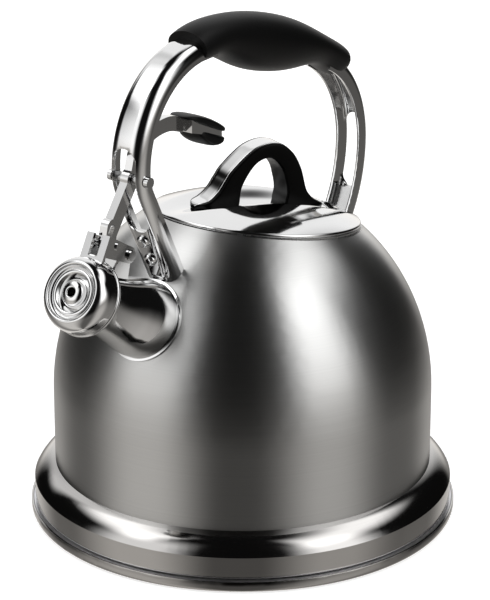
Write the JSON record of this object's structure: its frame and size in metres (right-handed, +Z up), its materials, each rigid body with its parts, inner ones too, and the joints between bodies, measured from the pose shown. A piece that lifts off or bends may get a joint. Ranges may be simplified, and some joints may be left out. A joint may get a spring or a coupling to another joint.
{
  "type": "stovetop whistling kettle",
  "caption": "Domed stovetop kettle with a lift-off lid, a fixed arched handle and a trigger that swings the whistle cap off its spout.",
  "frame": {"origin": "centre of the base's flat underside, on the body's axis", "axes": "+Z up, -X towards the spout, +Y to the right of someone who looks along the spout from behind the kettle"},
  "size_m": [0.2513, 0.22, 0.2653],
  "materials": {
    "body_steel": "satin brushed",
    "base_steel": "polished, smoky",
    "chrome": "polished",
    "inner_steel": "plain",
    "core_metal": "plain",
    "soft_black": "soft matte",
    "knob_black": "matte moulded"
  },
  "bodies": {
    "kettle": {"base_cap": "base_steel", "base_core": "core_metal", "base_pan": "base_steel", "body_shell": "body_steel", "lid_seat": "inner_steel", "spout_tube": "chrome", "spout_collar": "chrome", "spout_ear": "chrome", "hinge_rivets": "chrome", "handle_front_arm": "chrome", "handle_rear_arm": "chrome", "grip": "soft_black", "front_bracket": "inner_steel", "rear_bracket": "inner_steel", "front_screws": "chrome", "rear_screws": "chrome", "lever_pin": "chrome", "pin_spacers": "inner_steel"},
    "lever": {"lever": "chrome", "trigger_pad_top": "soft_black", "trigger_pad_bottom": "soft_black"},
    "cap": {"cap_shell": "chrome", "whistle_front_disc": "chrome", "whistle_rear_disc": "inner_steel", "cap_bracket": "chrome", "link_pin": "chrome"},
    "lid": {"lid_shell": "chrome", "lid_plug": "inner_steel", "knob_core": "knob_black", "knob_strap": "chrome", "knob_screws": "inner_steel"}
  },
  "joints": [
    {"name": "lever_pivot", "type": "hinge", "parent": "kettle", "child": "lever", "pos_m": [-0.0888, 0, 0.1996], "axis": [0, -1, 0], "range_deg": [0, 15]},
    {"name": "cap_hinge", "type": "hinge", "parent": "kettle", "child": "cap", "pos_m": [-0.09799, 0, 0.16512], "axis": [0, 1, 0], "range_deg": [0, 45]},
    {"name": "lid_lift", "type": "slide", "parent": "kettle", "child": "lid", "axis": [0.1478, 0, 0.989], "range_m": [0, 0.028]}
  ],
  "couplings": [
    {"joint": "cap_hinge", "follows": "lever_pivot", "ratio": 3}
  ]
}
